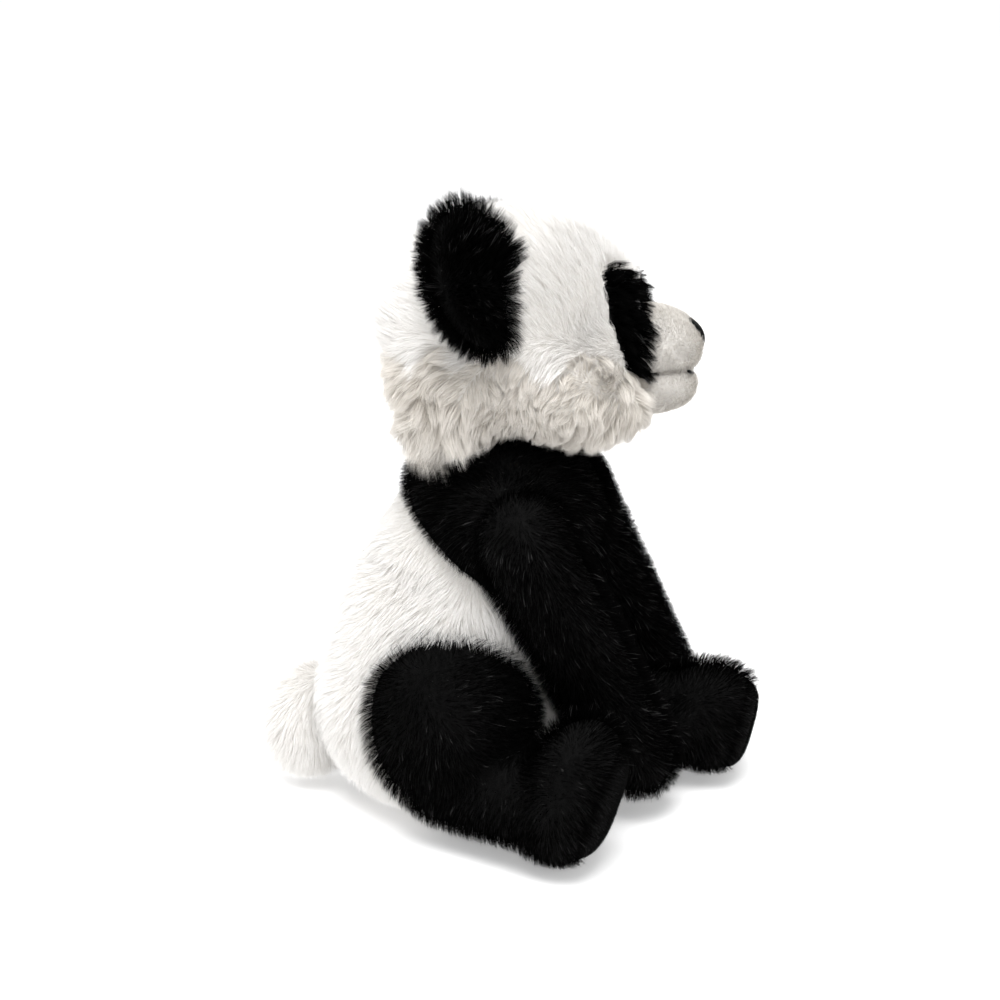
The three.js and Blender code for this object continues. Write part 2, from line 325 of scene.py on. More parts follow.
def plant(skin, rng, count):
    """Random roots on the cloth, with their normals."""
    areas = triangle_areas(skin)
    picks = np.searchsorted(np.cumsum(areas) / areas.sum(), (np.arange(count) + rng.random(count)) / count)
    picks = np.minimum(picks, len(areas) - 1)
    u, v = rng.random((2, count))
    flip = u + v > 1
    u, v = np.where(flip, 1 - u, u), np.where(flip, 1 - v, v)
    shares = np.stack([1 - u - v, u, v], 1)[:, :, None]
    roots = (skin.points[skin.triangles[picks]] * shares).sum(1)
    normals = unit((skin.normals[skin.triangles[picks]] * shares).sum(1))
    return roots, normals


def pressed(roots, normals):
    """How far the floor flattens the pile, from 0 to 1."""
    return (1 - smooth_step(roots[:, 2], 3, 20)) * smooth_step(-normals[:, 2], -0.1, 0.45)


def fur(name, skin, pile, comb, seed, length_at=None, keep=None):
    """The pile on a skin: one mesh of tapering strands that gather in tufts."""
    rng = np.random.default_rng(seed)
    density, width = pile.density, pile.width
    count = int(triangle_areas(skin).sum() * density)
    roots, normals = plant(skin, rng, count)
    if keep is not None:
        chosen = keep(roots)
        roots, normals = roots[chosen], normals[chosen]
    scale = np.ones(len(roots)) if length_at is None else length_at(roots)
    scale = scale * (1 - 0.75 * pressed(roots, normals))
    chosen = scale > SHORTEST
    roots, normals, scale = roots[chosen], normals[chosen], scale[chosen]
    count = len(roots)
    length = pile.length * scale * rng.uniform(0.75, 1.15, count)

    tufts = max(1, int(count / (density * pile.clump_size ** 2)))
    leaders = rng.choice(count, tufts, replace=False)
    tree = KDTree(tufts)
    for i, leader in enumerate(leaders):
        tree.insert(roots[leader], i)
    tree.balance()
    nearest = np.array([tree.find(root)[1] for root in roots])

    field_seed = int(rng.integers(1 << 30))
    own = strand_paths(roots, normals, comb, pile, length, np.random.default_rng(field_seed), pile.stray)
    lead = strand_paths(roots[leaders], normals[leaders], comb, pile, length[leaders],
                        np.random.default_rng(field_seed), pile.stray * 2)[nearest]
    hold = pile.clump * rng.uniform(0.5, 1.3, tufts)[nearest] * rng.uniform(0.7, 1.1, count)
    along = np.linspace(0, 1, pile.rings + 1)
    pull = np.clip(hold[:, None] * along[None, :] ** 1.4, 0, 0.92)[:, :, None]
    paths = own + (lead - own) * pull
    floor = FLOOR_CLEAR * rng.uniform(0.8, 2.2, count)[:, None]
    paths[:, :, 2] = np.maximum(paths[:, :, 2], floor)

    ways = unit(paths[:, -1] - paths[:, 0])
    flat = unit(np.cross(ways, normals) + 1e-6)
    tilt = rng.uniform(-1.2, 1.2, count)[:, None]
    side = flat * np.cos(tilt) + np.cross(ways, flat) * np.sin(tilt)
    thick = width * rng.uniform(0.7, 1.3, count)
    shade = rng.random(tufts)[nearest] * 0.25 + rng.random(count) * 0.75
    return strands_mesh(name, paths, side, thick, shade)


UV_HALF = 0.004     # half of a strand's width in U


def strands_mesh(name, paths, side, thick, shade):
    """Flat blades along the paths; U holds each strand's shade and V runs from root to tip."""
    count, rings = paths.shape[0], paths.shape[1]
    stride = 2 * (rings - 1) + 1
    verts = np.empty((count, stride, 3))
    uvs = np.empty((count, stride, 2))
    shade = np.clip(shade, 2 * UV_HALF, 1 - 2 * UV_HALF)
    for ring in range(rings - 1):
        taper = (1 - 0.45 * (ring / (rings - 1)) ** 1.5) * thick[:, None] / 2
        for edge, way in ((0, -1), (1, 1)):
            verts[:, 2 * ring + edge] = paths[:, ring] + way * side * taper
            uvs[:, 2 * ring + edge, 0] = shade + way * UV_HALF
            uvs[:, 2 * ring + edge, 1] = 0.02 + 0.96 * ring / (rings - 1)
    verts[:, -1] = paths[:, -1]
    uvs[:, -1, 0] = shade
    uvs[:, -1, 1] = 0.98
    corners = []
    for ring in range(rings - 2):
        a = 2 * ring
        corners += [a, a + 1, a + 3, a + 2]
    corners += [stride - 3, stride - 2, stride - 1]
    corners = np.array(corners)
    sizes = np.array([4] * (rings - 2) + [3])
    index = (np.arange(count)[:, None] * stride + corners).ravel()
    loops_per = len(corners)
    starts = (np.arange(count)[:, None] * loops_per + np.concatenate([[0], np.cumsum(sizes)[:-1]])).ravel()

    mesh = bpy.data.meshes.new(name)
    mesh.vertices.add(count * stride)
    mesh.vertices.foreach_set("co", (verts * MM).ravel().astype(np.float32))
    mesh.loops.add(len(index))
    mesh.loops.foreach_set("vertex_index", index.astype(np.int32))
    mesh.polygons.add(len(starts))
    mesh.polygons.foreach_set("loop_start", starts.astype(np.int32))
    layer = mesh.uv_layers.new(name="OFBake")
    layer.data.foreach_set("uv", uvs.reshape(-1, 2)[index].ravel().astype(np.float32))
    mesh.update(calc_edges=True)
    return add_object(name, mesh)


# ---------- materials ----------

def new_material(name, roughness, specular):
    """A Principled material, with its node tree and shader."""
    material = bpy.data.materials.new(name)
    material.use_nodes = True
    tree = material.node_tree
    shader = tree.nodes["Principled BSDF"]
    shader.inputs["Roughness"].default_value = roughness
    shader.inputs["Specular IOR Level"].default_value = specular
    return material, tree, shader


def ramp(tree, source, stops):
    """A colour ramp on a value, from (place, colour) stops."""
    node = tree.nodes.new("ShaderNodeValToRGB")
    elements = node.color_ramp.elements
    while len(elements) < len(stops):
        elements.new(1.0)
    for element, (place, colour) in zip(elements, stops):
        element.position = place
        element.color = (*colour, 1)
    tree.links.new(source, node.inputs["Fac"])
    return node.outputs["Color"]


def multiply(tree, first, second):
    """Two colours multiplied."""
    node = tree.nodes.new("ShaderNodeMix")
    node.data_type = "RGBA"
    node.blend_type = "MULTIPLY"
    node.inputs["Factor"].default_value = 1.0
    tree.links.new(first, node.inputs[6])
    tree.links.new(second, node.inputs[7])
    return node.outputs[2]


def strand_material(name, along, between, roughness, specular):
    """Fur: one ramp from root to tip, painted darker at the root as the shade deep in the pile, and one from
    strand to strand.
    """
    material, tree, shader = new_material(name, roughness, specular)
    uv = tree.nodes.new("ShaderNodeUVMap")
    uv.uv_map = "OFBake"
    split = tree.nodes.new("ShaderNodeSeparateXYZ")
    tree.links.new(uv.outputs["UV"], split.inputs[0])
    length_colour = ramp(tree, split.outputs["Y"], along)
    strand_colour = ramp(tree, split.outputs["X"], between)
    tree.links.new(multiply(tree, length_colour, strand_colour), shader.inputs["Base Color"])
    return material


def cloth_material(name, low, high, scale=900, bump=0.3, roughness=0.9):
    """Knitted backing: fine loops in its height and mottled colour."""
    material, tree, shader = new_material(name, roughness, 0.2)
    place = tree.nodes.new("ShaderNodeTexCoord")
    mottle = tree.nodes.new("ShaderNodeTexNoise")
    mottle.inputs["Scale"].default_value = 60
    mottle.inputs["Detail"].default_value = 4
    tree.links.new(place.outputs["Object"], mottle.inputs["Vector"])
    tree.links.new(ramp(tree, mottle.outputs["Fac"], [(0.3, low), (0.7, high)]), shader.inputs["Base Color"])
    loops = tree.nodes.new("ShaderNodeTexVoronoi")
    loops.inputs["Scale"].default_value = scale
    tree.links.new(place.outputs["Object"], loops.inputs["Vector"])
    height = tree.nodes.new("ShaderNodeBump")
    height.inputs["Strength"].default_value = bump
    height.inputs["Distance"].default_value = 0.0006
    tree.links.new(loops.outputs["Distance"], height.inputs["Height"])
    tree.links.new(height.outputs["Normal"], shader.inputs["Normal"])
    return material


def thread_material(name, colour):
    """Satin thread: fine twist across its length."""
    material, tree, shader = new_material(name, 0.42, 0.05)
    place = tree.nodes.new("ShaderNodeTexCoord")
    twist = tree.nodes.new("ShaderNodeTexWave")
    twist.inputs["Scale"].default_value = 700
    twist.inputs["Distortion"].default_value = 2
    tree.links.new(place.outputs["Object"], twist.inputs["Vector"])
    low = tuple(value * 0.5 for value in colour)
    tree.links.new(ramp(tree, twist.outputs["Fac"], [(0.2, low), (0.9, colour)]), shader.inputs["Base Color"])
    return material


def plastic_material(name, colour, roughness, haze):
    """Moulded plastic, with faint handling marks in its gloss."""
    material, tree, shader = new_material(name, roughness, 0.5)
    place = tree.nodes.new("ShaderNodeTexCoord")
    marks = tree.nodes.new("ShaderNodeTexNoise")
    marks.inputs["Scale"].default_value = 300
    tree.links.new(place.outputs["Object"], marks.inputs["Vector"])
    spread = tree.nodes.new("ShaderNodeMapRange")
    spread.inputs["To Min"].default_value = roughness
    spread.inputs["To Max"].default_value = roughness + haze
    tree.links.new(marks.outputs["Fac"], spread.inputs["Value"])
    tree.links.new(spread.outputs["Result"], shader.inputs["Roughness"])
    high = tuple(min(1, value * 1.3 + 0.002) for value in colour)
    tree.links.new(ramp(tree, marks.outputs["Fac"], [(0.3, colour), (0.8, high)]), shader.inputs["Base Color"])
    return material


def grey(value, warmth=0.0):
    """A grey; warmth is the share of green that it lacks, and it lacks more blue."""
    return (value, value * (1 - warmth), value * (1 - 2.4 * warmth))


# White pile: painted darker at the root as the shade deep in the pile; the strand-to-strand ramp is random
# tone.
WHITE_STRANDS = strand_material(
    "white_strands", [(0.0, grey(0.78, 0.03)), (0.45, grey(0.865, 0.014)), (1.0, grey(0.9, 0.01))],
    [(0.0, grey(0.94, 0.01)), (0.6, grey(1.0)), (1.0, grey(1.0))], 0.7, 0.2)
# Black pile: painted darker at the root as the shade deep in the pile, and about one strand in a hundred
# painted near white towards its tip as painted glints.
BLACK_STRANDS = strand_material(
    "black_strands", [(0.0, grey(0.012)), (0.5, grey(0.04)), (1.0, grey(0.16, 0.01))],
    [(0.0, grey(0.01)), (0.85, grey(0.02)), (0.925, grey(0.04)), (0.935, grey(1.0))], 0.5, 0.003)
# Lower head's pile: painted darker and warmer than the crown's, as the shade on the cheeks, jaw and nape, and
# darker still at the root.
RUFF_STRANDS = strand_material(
    "ruff_strands", [(0.0, grey(0.54, 0.07)), (0.5, grey(0.72, 0.05)), (1.0, grey(0.85, 0.035))],
    [(0.0, grey(0.86, 0.02)), (0.6, grey(1.0)), (1.0, grey(1.0))], 0.7, 0.2)
# Muzzle and jaw pile: painted dark and warm at the root, as the shade under the muzzle and on the jaw.
SHORT_WHITE_STRANDS = strand_material(
    "short_white_strands", [(0.0, grey(0.46, 0.06)), (1.0, grey(0.8, 0.035))],
    [(0.0, grey(0.96)), (1.0, grey(1.0))], 0.8, 0.2)
# Sole pile: a little darker at the root, as painted shade deep in the pile.
SHORT_BLACK_STRANDS = strand_material(
    "short_black_strands", [(0.0, grey(0.002)), (1.0, grey(0.006))],
    [(0.0, grey(0.7)), (1.0, grey(1.0))], 0.6, 0.03)
# The white backing is painted darker than the white pile, as the shade in the gaps between its strands.
WHITE_CLOTH = cloth_material("white_cloth", grey(0.6, 0.03), grey(0.7, 0.025))
BLACK_CLOTH = cloth_material("black_cloth", grey(0.001), grey(0.002))
FIBRE = cloth_material("fibre", grey(0.86), grey(0.96), scale=300, bump=0.8, roughness=1.0)
SACKING = cloth_material("sacking", grey(0.7, 0.03), grey(0.82, 0.03), scale=500, bump=0.6)
THREAD = thread_material("thread", grey(0.006))
EYE_PLASTIC = plastic_material("eye_plastic", grey(0.006), 0.06, 0.05)
WASHER_PLASTIC = plastic_material("washer_plastic", grey(0.85), 0.45, 0.15)

white_pile = Pile(WHITE_STRANDS, "white_pile", 9.5, 2.6, width=0.15, lean=(30, 62), clump=0.28,
                  clump_size=3.4, swirl=0.36)
head_pile = Pile(WHITE_STRANDS, "white_pile", 11.5, 3.6, width=0.13, lean=(30, 64), clump=0.3,
                 clump_size=3.0, swirl=0.16, swirl_size=40)
ruff_pile = Pile(RUFF_STRANDS, "white_pile", 13.5, 3.2, width=0.15, lean=(26, 56), clump=0.6,
                 clump_size=5.0, swirl=1.1, swirl_size=20)
black_pile = Pile(BLACK_STRANDS, "black_pile", 8.5, 2.0, width=0.17, lean=(16, 40), clump=0.5,
                  clump_size=2.6, swirl=0.6)
ear_pile = Pile(BLACK_STRANDS, "black_pile", 10, 5.0, width=0.15, lean=(20, 44), clump=0.6,
                clump_size=2.8, swirl=0.3)
patch_pile = Pile(BLACK_STRANDS, "black_pile", 11, 6.0, width=0.16, lean=(14, 50), clump=0.75,
                  clump_size=3.2, swirl=0.4)
muzzle_pile = Pile(SHORT_WHITE_STRANDS, "short_white_pile", 2.4, 7, width=0.14, lean=(25, 60), clump=0.3,
                   clump_size=3, swirl=0.3, gravity=0)
sole_pile = Pile(SHORT_BLACK_STRANDS, "short_black_pile", 1.8, 6, width=0.14, lean=(15, 35), clump=0.2,
                 clump_size=3, swirl=0.3, gravity=0)


# ---------- putting pieces on bodies ----------

def dress(obj, material, body, across=None, stands_for=()):
    """Gives a piece its look and its body, or with across its transform applied in place, and hides the nodes
    that it stands for.
    """
    obj.data.materials.clear()
    obj.data.materials.append(material)
    if across is None:
        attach(obj, body)
    else:
        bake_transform(obj)
    if stands_for:
        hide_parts(*stands_for)


def member(name, obj, cloth, pile, comb, seed, body, stands_for, across=None, length_at=None,
           parts=None):
    """A stuffed cloth form and the pile on it, in one piece or in the named parts."""
    skin = Skin(obj)
    for suffix, keep in (parts or {"": None}).items():
        pelt = fur(name + suffix + "_pile", skin, pile, comb, seed, length_at, keep)
        dress(pelt, pile.material, body, across)
    dress(obj, cloth, body, across, stands_for)


def halves(local):
    """The two sides of a form, by the sign of X in the given frame."""
    return {
        "_right": lambda roots: local(roots)[:, 0] < 0,
        "_left": lambda roots: local(roots)[:, 0] >= 0,
    }


# ---------- the forms ----------

def shrunk(radii, by=BACKING):
    """The cloth's radii from those of the CAD form."""
    return [radius - by for radius in radii]


TORSO = [
    Lump([0, 18, 54], shrunk([57, 62, 57], TORSO_BACKING)),
    Lump([0, 14, 84], shrunk([54, 57, 44], TORSO_BACKING)),
    Lump([0, 8, 104], shrunk([50, 54, 56], TORSO_BACKING)),
    Lump([0, -2, 128], shrunk([48, 51, 40], TORSO_BACKING)),
    Lump([0, -12, 150], shrunk([47, 52, 46], TORSO_BACKING)),
    Lump([0, -14, 174], [34, 33, 20]),
    Lump([-24, -20, 154], [34, 32, 26]),
    Lump([24, -20, 154], [34, 32, 26]),
]
TAIL = [Lump([0, 87, 35], shrunk([20, 23, 33], TAIL_BACKING), turn(pitch=12))]


def arm_ends(side):
    """The shoulder and the middle of the paw."""
    low, high = box_of(f"arm_{side}_cover")
    shoulder = joint_at(f"arm_{side}_lift")
    across = high[0] - ARM_RADII[1] if shoulder[0] - low[0] < high[0] - shoulder[0] else low[0] + ARM_RADII[1]
    return shoulder, np.array([across, low[1] + ARM_RADII[1], low[2] + ARM_RADII[1]])


def arm_lumps(side):
    """From inside the chest, over the shoulder, to the paw."""
    shoulder, paw = arm_ends(side)
    inner = shoulder - [SIDES[side] * SHOULDER_SINK, 0, 0]
    radii = [ARM_RADII[0] - BACKING, ARM_RADII[1] - PAW_BACKING]
    return chain(inner, shoulder, [radii[0]] * 2, steps=4) + chain(shoulder, paw, radii)


ARMS = {side: arm_lumps(side) for side in SIDES}

# each leg: the thigh's radii and how far behind its joint it lies; the foot's place from
# the joint, its radii and how it is turned
LEG_SHAPES = {
    "right": {"thigh": [34, 42, 48], "back": 2, "foot": [-21, -61, -20], "radii": [27, 26, 40.5],
              "pitch": 19, "yaw": -4},
    "left": {"thigh": [29, 42, 43], "back": 0, "foot": [15, -84, -11], "radii": [27, 31, 30],
             "pitch": 14, "yaw": 6},
}


def leg_lumps(side):
    """The thigh, the calf along the floor, and the foot."""
    shape = LEG_SHAPES[side]
    hip = joint_at(f"leg_{side}_lift")
    foot = hip + shape["foot"]
    heel = [hip[0], hip[1], CALF_RADII[0] + CALF_CLEAR]
    ankle = [foot[0], foot[1], CALF_RADII[1] + CALF_CLEAR]
    spin = turn(pitch=shape["pitch"], yaw=shape["yaw"])
    thigh = Lump(hip + [0, shape["back"], 0], shrunk(shape["thigh"], LEG_BACKING))
    calf = chain(heel, ankle, shrunk(CALF_RADII, LEG_BACKING))
    return [thigh, *calf, Lump(foot, shrunk(shape["radii"], LEG_BACKING), spin)]


LEGS = {side: leg_lumps(side) for side in SIDES}


HEAD_SPIN = turn(roll=HEAD_ROLL, yaw=HEAD_YAW)


def in_head(points):
    """From the head's own frame, about its middle, to the panda's."""
    return np.asarray(points, float) @ HEAD_SPIN.T + HEAD


def way_in_head(*way):
    """A direction in the head's frame, turned to the panda's."""
    return in_head(way) - HEAD


def from_head(points):
    """From the panda's frame to the head's own."""
    return (np.asarray(points, float) - HEAD) @ HEAD_SPIN


def head_lump(centre, radii, spin=np.eye(3)):
    """A lump that is placed and turned in the head's frame."""
    return Lump(in_head(centre), radii, HEAD_SPIN @ spin)


SKULL = [
    head_lump([0, 3, 2], shrunk([59, 60, 53])),
    head_lump([0, 12, 5], shrunk([52, 53, 47])),
    head_lump([0, -22, 8], shrunk([50, 36, 36])),
    head_lump([0, 20, -20], shrunk([56, 38, 36])),
    head_lump([0, -24, -21], shrunk([54, 38, 35])),
    head_lump([0, -34, -28], shrunk([44, 34, 24])),
    head_lump([22, -40, 0], shrunk([20, 22, 30])),
    head_lump([-22, -40, 0], shrunk([20, 22, 30])),
]
SNOUT_CENTRE = [0, -59, -6]
SNOUT_RADII = shrunk([26, 26, 19], MUZZLE_BACKING)
SNOUT = head_lump(SNOUT_CENTRE, SNOUT_RADII)
CHIN = head_lump([0, -58, -24], shrunk([22, 25, 14], MUZZLE_BACKING))


def ear_lump(side):
    """An ear as a thin lens, leaning forward and out."""
    sign = SIDES[side]
    spin = turn(pitch=-15, roll=sign * 10, yaw=sign * 40)
    return head_lump([sign * 58.5, 13, 23], shrunk([27, 9, 33], EAR_BACKING), spin)


EARS = {side: ear_lump(side) for side in SIDES}


def shrink_inside(lumps, length, margin=0.0, least=0.0):
    """Share of a pile's length by root: short inside other forms, so that little or none comes out."""
    def scale(roots):
        depth = depth_in(roots, lumps) + margin
        return np.where(depth > 0, np.clip(depth * 0.6 / length, least, 0.5), 1.0)
    return scale


# ---------- torso and yoke ----------

def combed(*way):
    """A comb that goes the same way everywhere."""
    return lambda roots: np.broadcast_to(np.array(way, float), roots.shape)


FOLD_HEIGHT = 128   # of the fold across the back, and how much it rises to the rear
FOLD_SLOPE = 0.16
FOLD_DEPTH = 3.0
SWELL_HEIGHT = 2.2  # of the back below the fold
NIP_DEPTH = 1.8     # of the cloth at the yoke's seam


def torso_shape(points, normals):
    """A soft fold across the back and a nip at the seam between white and black."""
    above_fold = points[:, 2] - (FOLD_HEIGHT + FOLD_SLOPE * (points[:, 1] - 40))
    behind = smooth_step(points[:, 1], -10, 35)
    groove = bell(above_fold, 6.5) * behind * FOLD_DEPTH
    swell = bell(above_fold + 20, 14) * behind * SWELL_HEIGHT
    nip = bell((points - SEAM_POINT) @ SEAM_NORMAL, 3.5) * NIP_DEPTH
    return points + normals * (swell - groove - nip)[:, None]


def make_torso():
    """The white body in two halves of pile, and the black yoke."""
    whole = stuffed("torso_form", TORSO, torso_shape, rounds=40)
    white = cut(whole, "torso_skin", SEAM_POINT, -SEAM_NORMAL)
    black = cut(whole, "yoke_skin", SEAM_POINT, SEAM_NORMAL)
    bpy.data.objects.remove(whole)
    limbs = [lump for side in SIDES for lump in ARMS[side] + LEGS[side]]
    inside_limbs = shrink_inside(limbs, white_pile.length, 1.5, least=0.3)
    inside_head = shrink_inside(SKULL, black_pile.length)

    def short_at_seam(inside):
        """The pile is pulled in where white and black are sewn together."""
        def scale(roots):
            seam = np.abs((roots - SEAM_POINT) @ SEAM_NORMAL)
            return inside(roots) * (0.4 + 0.6 * smooth_step(seam, 0, 8))
        return scale

    inside_limbs, inside_head = short_at_seam(inside_limbs), short_at_seam(inside_head)
    member("torso", white, WHITE_CLOTH, white_pile, combed(0, 0.25, -1), 11, "torso", ("torso_cover",),
           length_at=inside_limbs, parts=halves(lambda roots: roots))
    member("yoke", black, BLACK_CLOTH, black_pile, combed(0, 0, -1), 12, "torso", ("shoulder_yoke",),
           length_at=inside_head)


def make_tail():
    """A flat tuft, combed away from its root."""
    obj = stuffed("tail_skin", TAIL)
    away = joint_at("tail_lift")

    def comb(roots):
        return unit(roots - away) + DOWN * 0.5

    member("tail", obj, WHITE_CLOTH, white_pile, comb, 13, "tail", ("tail_cover",),
           length_at=shrink_inside(TORSO, white_pile.length))


# ---------- limbs ----------

def make_arm(side, seed):
    """A sleeve that starts inside the chest."""
    shoulder, paw = arm_ends(side)
    way = unit(paw - shoulder)
    obj = stuffed(f"arm_{side}_skin", ARMS[side])

    def comb(roots):
        """Straight down over the shoulder, and along the limb below it."""
        share = smooth_step((roots - shoulder) @ way, 0, 40)[:, None]
        return way * share + np.array([0, -0.35, -1.0]) * (1 - share)

    inside = shrink_inside(TORSO, black_pile.length, -1.0)
    member(f"arm_{side}", obj, BLACK_CLOTH, black_pile, comb, seed, f"arm_{side}",
           (f"arm_{side}_cover",), length_at=lambda roots: 0.88 * inside(roots))


def make_leg(side, seed):
    """A leg from the hip to the foot, and its short-piled sole."""
    shape = LEG_SHAPES[side]
    hip = joint_at(f"leg_{side}_lift")
    foot = hip + shape["foot"]
    normal = turn(pitch=shape["pitch"], yaw=shape["yaw"]) @ np.array([0, -1, 0])
    seam = foot + normal * SOLE_DEPTH

    def flatten(points, normals):
        """The sole is nearly flat, with a shallow channel where it is sewn in."""
        beyond = (points - seam) @ normal
        over = np.maximum(beyond, 0)
        points = points - normal * (over - SOLE_RISE * np.tanh(over / SOLE_RISE))[:, None]
        channel = bell(beyond - 0.5, 2.0) * 0.8
        return points - normals * channel[:, None]

    whole = stuffed(f"leg_{side}_form", LEGS[side], flatten)
    leg = cut(whole, f"leg_{side}_skin", seam, -normal)
    sole = cut(whole, f"sole_{side}_skin", seam, normal)
    bpy.data.objects.remove(whole)

    def comb(roots):
        return unit(roots - hip) * 0.8 + normal * 0.8

    across = (hip + [0, 12, 0], hip - [0, 26, 0])   # 12 mm behind and 26 mm in front of the hip joint
    inside = shrink_inside(TORSO, black_pile.length, -1.0)
    member(f"leg_{side}", leg, BLACK_CLOTH, black_pile, comb, seed, f"leg_{side}",
           (f"leg_{side}_cover",), across=across, length_at=inside)
    member(f"sole_{side}", sole, BLACK_CLOTH, sole_pile, combed(0, 0, -1), seed + 1, f"leg_{side}",
           (f"sole_{side}",))


# ---------- head ----------

RUFF_TOP = -12     # above it the pile lies close, below it is tousled
EYE_TILT = 34      # degrees that an eye patch is turned round the head
EYE_ROLL = 14
EYE_OUT = 61       # from the middle of the head to where a patch's pile leaves the eye bare
PATCH_RISE = 0.5   # of the patch's cloth above the head's


def eye_way(side):
    """Out of the head through an eye, in the head's frame."""
    return unit([SIDES[side] * 0.38, -0.9, 0.2])


def patch_lump(side, grow=0.0):
    """The space round an eye that is black."""
    spin = turn(pitch=-14, roll=SIDES[side] * EYE_ROLL, yaw=SIDES[side] * EYE_TILT)
    return head_lump([SIDES[side] * 25.5, -56, 6.5], np.array([16.5, 21, 27]) + grow, spin)


def head_comb(roots):
    """The pile runs up and back from the chin, and down below the cheeks."""
    local = from_head(roots)
    up = unit(local - [0, -74, -46])
    low = unit([0, 0.35, -1.0])
    height = local[:, 2] + 6 * ripple(roots, 26, np.random.default_rng(7))
    share = smooth_step(height, -34, 6)[:, None]
    return (up * share + low * (1 - share)) @ HEAD_SPIN.T


def patch_cloth(name, skin, lump):
    """The part of a skin that lies in a space, as a thin cloth laid on it."""
    bm = bmesh.new()
    bm.from_mesh(skin.data)
    bm.normal_update()
    inside = depth_in(np.array([vert.co for vert in bm.verts]) / MM, [lump]) > 0
    bare = [vert for vert, kept in zip(bm.verts, inside) if not kept]
    bmesh.ops.delete(bm, geom=bare, context="VERTS")
    for vert in bm.verts:
        vert.co += vert.normal * PATCH_RISE * MM
    return object_from(bm, name)


def make_head():
    """The head: close pile on the crown, tousled pile below, and black pile round the eyes."""
    obj = stuffed("head_skin", SKULL)
    skin = Skin(obj)
    patches = [patch_lump(side) for side in SIDES]
    muzzle = [SNOUT, CHIN]

    def is_patch(roots):
        edge = ripple(roots, 5, np.random.default_rng(5)) * 0.8
        return depth_in(roots, patches) + edge > 0

    def clear_of_muzzle(roots, least=0.35):
        """Shorter round the muzzle, and none beneath it."""
        depth = depth_in(roots, muzzle)
        return np.where(depth > 0.5, 0.0, least + (1 - least) * smooth_step(-depth, 0, 12))

    def crown_length(roots):
        """Shorter round the ears too, so that their pile lies over it."""
        from_ears = -depth_in(roots, list(EARS.values()))
        return clear_of_muzzle(roots) * (0.35 + 0.65 * smooth_step(from_ears, 0, 9))

    def ruff_length(roots):
        """Longest low on the nape, shortest over the shoulders."""
        _, back, height = from_head(roots).T
        share = 0.5 + 0.5 * smooth_step(back, 4, 38) + 0.3 * smooth_step(-back, 22, 45)
        nape = smooth_step(back, 4, 34) * smooth_step(-height, 30, 44)
        return clear_of_muzzle(roots, 0.7) * share * (1 + nape)

    coats = (
        ("crown", head_pile, lambda height: height > RUFF_TOP, crown_length, 31),
        ("ruff", ruff_pile, lambda height: height <= RUFF_TOP, ruff_length, 32),
    )
    for name, pile, level, length_at, seed in coats:
        for suffix, half in halves(from_head).items():
            def part(roots, half=half, level=level):
                height = from_head(roots)[:, 2] + 5 * ripple(roots, 30, np.random.default_rng(6))
                return half(roots) & level(height) & ~is_patch(roots)

            pelt = fur(f"{name}{suffix}_pile", skin, pile, head_comb, seed, length_at, part)
            dress(pelt, pile.material, "head")
    for side in SIDES:
        middle = in_head(eye_way(side) * 40)

        def outward(roots, middle=middle):
            return unit(roots - middle) + way_in_head(0, -1.1, -0.2)

        def bare_eye(roots, side=side):
            """Short where the eye sits."""
            away = np.linalg.norm(roots - in_head(eye_way(side) * EYE_OUT), axis=1)
            return np.where(away < 4.5, 0.0, 0.6 + 0.4 * smooth_step(away, 5, 10))

        def own_patch(roots, side=side):
            return is_patch(roots) & (from_head(roots)[:, 0] * SIDES[side] > 0)

        pelt = fur(f"eye_patch_{side}_pile", skin, patch_pile, outward, 33, bare_eye, own_patch)
        dress(pelt, patch_pile.material, "head")
        cloth = patch_cloth(f"eye_patch_{side}_skin", obj, patch_lump(side, 0.5))
        dress(cloth, BLACK_CLOTH, "head", stands_for=(f"eye_patch_{side}",))
    dress(obj, WHITE_CLOTH, "head", stands_for=("head_cover",))


def make_muzzle():
    """The muzzle and the jaw, in short pile that is combed back."""
    back = combed(*way_in_head(0, 1, 0.15))
    for name, lump, seed, node in (("muzzle", SNOUT, 41, "muzzle_cover"), ("jaw", CHIN, 42, "jaw_cover")):
        obj = stuffed(f"{name}_skin", [lump], voxel=1.4, rounds=3)
        member(name, obj, WHITE_CLOTH, muzzle_pile, back, seed, "head", (node,),
               length_at=shrink_inside(SKULL, muzzle_pile.length))


def stitching(name, paths, radius, node):
    """Round threads along paths in the head's frame, as one piece."""
    sides = 6
    bm = bmesh.new()
    for path in paths:
        path = in_head(path)
        ways = unit(np.gradient(path, axis=0))
        out = unit(path - HEAD)
        first = unit(np.cross(ways, out))
        second = np.cross(first, ways)
        rings = []
        for i, point in enumerate(path):
            size = radius * (0.35 if i in (0, len(path) - 1) else 1.0)
            ring = []
            for k in range(sides):
                angle = 2 * math.pi * k / sides
                spot = point + size * (first[i] * math.cos(angle) + second[i] * math.sin(angle))
                ring.append(bm.verts.new(spot * MM))
            rings.append(ring)
        for a, b in zip(rings, rings[1:]):
            for k in range(sides):
                bm.faces.new((a[k], a[(k + 1) % sides], b[(k + 1) % sides], b[k]))
        bm.faces.new(rings[0][::-1])
        bm.faces.new(rings[-1])
    dress(object_from(bm, name), THREAD, "head", stands_for=(node,))


def on_snout(across, height, proud=0.0):
    """The point of the muzzle's front at that place across and up, in the head's frame."""
    centre, radii = SNOUT_CENTRE, np.array(SNOUT_RADII) + proud
    rest = 1 - (across / radii[0]) ** 2 - ((height - centre[2]) / radii[2]) ** 2
    return np.array([across, centre[1] - radii[1] * math.sqrt(max(rest, 0)), height])


NOSE_HALF = 8.0
NOSE_TOP = 6.5
NOSE_BOTTOM = -6.0
STITCH_PITCH = 0.62    # between the nose's threads


